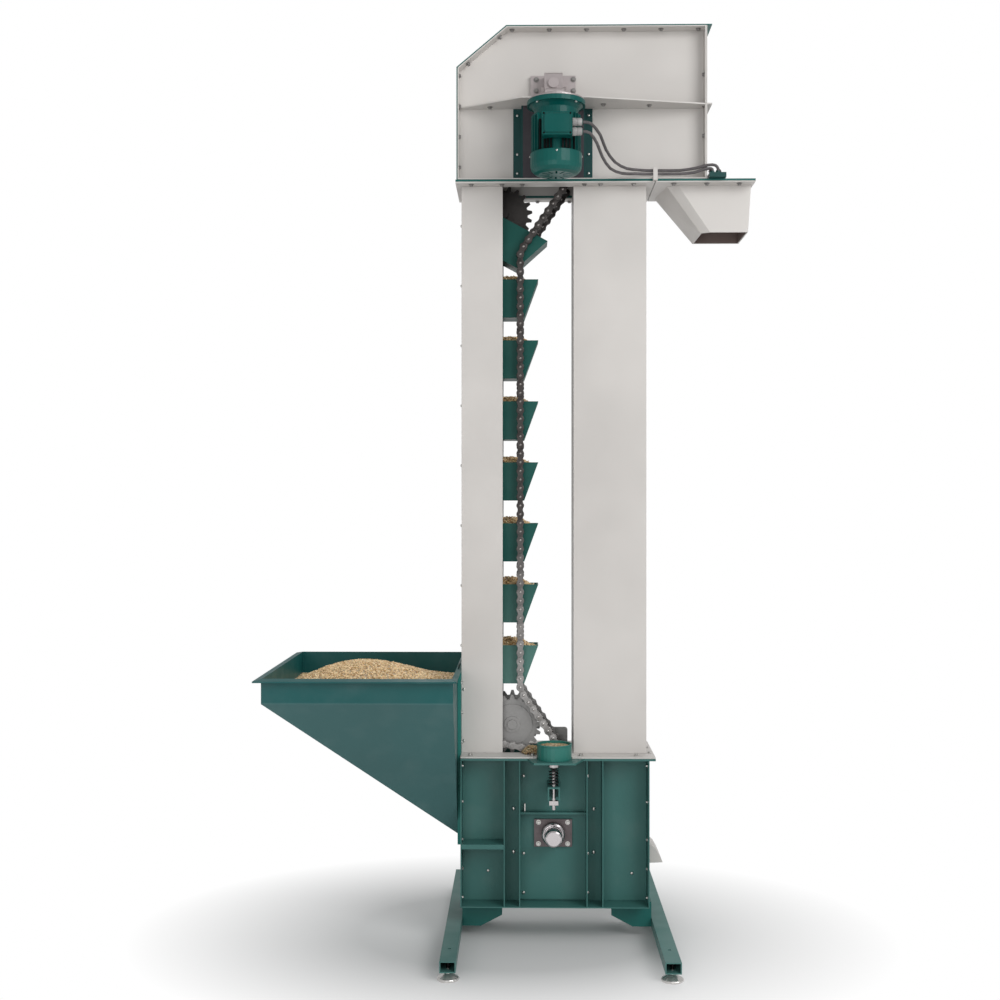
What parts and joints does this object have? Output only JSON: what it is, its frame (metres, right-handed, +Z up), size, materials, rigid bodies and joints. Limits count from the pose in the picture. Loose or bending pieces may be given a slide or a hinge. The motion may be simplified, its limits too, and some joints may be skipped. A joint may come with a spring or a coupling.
{
  "type": "bucket elevator",
  "caption": "Upright grain elevator with a side feed hopper, two casing legs, chain and buckets in an open window, a drive head with a gearmotor and an outlet spout.",
  "frame": {"origin": "centre of the bounding box's base, on the floor under the levelling feet", "axes": "+X towards the outlet spout, +Y away from the side that carries the motor, +Z up"},
  "size_m": [1.4256, 0.908, 2.6858],
  "materials": {
    "green_paint": "satin teal-green paint",
    "cream_paint": "satin light warm grey paint",
    "motor_paint": "gloss green machine paint",
    "bare_steel": "machined steel",
    "chain_steel": "oiled chain steel",
    "foot_steel": "polished stainless",
    "cable_jacket": "dark grey cable jacket",
    "spring_steel": "black spring steel"
  },
  "bodies": {
    "root": {"base_tube_left": "green_paint", "base_tube_right": "green_paint", "boot_back_panel": "green_paint", "boot_bearing": "bare_steel", "boot_floor": "green_paint", "boot_front_panel": "green_paint", "boot_left_wall": "green_paint", "boot_right_wall": "green_paint", "boot_shaft": "bare_steel", "boot_shelf": "green_paint", "boot_top_plate": "green_paint", "bucket_1": "green_paint", "bucket_2": "green_paint", "bucket_3": "green_paint", "bucket_4": "green_paint", "bucket_5": "green_paint", "bucket_6": "green_paint", "bucket_7": "green_paint", "bucket_8": "green_paint", "cable_clip": "cream_paint", "cable_lower": "cable_jacket", "cable_upper": "cable_jacket", "chain_back": "chain_steel", "chain_front": "chain_steel", "cleanout_hood": "cream_paint", "discharge_spout": "cream_paint", "fan_cowl": "motor_paint", "foot_back_left": "foot_steel", "foot_back_right": "foot_steel", "foot_front_left": "foot_steel", "foot_front_right": "foot_steel", "gearbox": "bare_steel", "gusset_back_left": "green_paint", "gusset_back_right": "green_paint", "gusset_front_left": "green_paint", "gusset_front_right": "green_paint", "head_back_panel": "cream_paint", "head_base_plate": "green_paint", "head_cover": "green_paint", "head_front_panel": "cream_paint", "head_right_wall": "cream_paint", "hopper_body": "green_paint", "hopper_frame": "green_paint", "left_leg": "cream_paint", "leg_base_flange": "cream_paint", "leg_top_flange": "cream_paint", "level_sensor": "motor_paint", "lower_guide": "bare_steel", "motor_body": "motor_paint", "motor_bracket": "green_paint", "motor_shelf": "cream_paint", "right_leg": "cream_paint", "take_up_cup": "green_paint", "take_up_panel": "green_paint", "take_up_screw": "bare_steel", "take_up_spring": "spring_steel", "terminal_box": "motor_paint", "upper_guide": "bare_steel"}
  },
  "joints": []
}
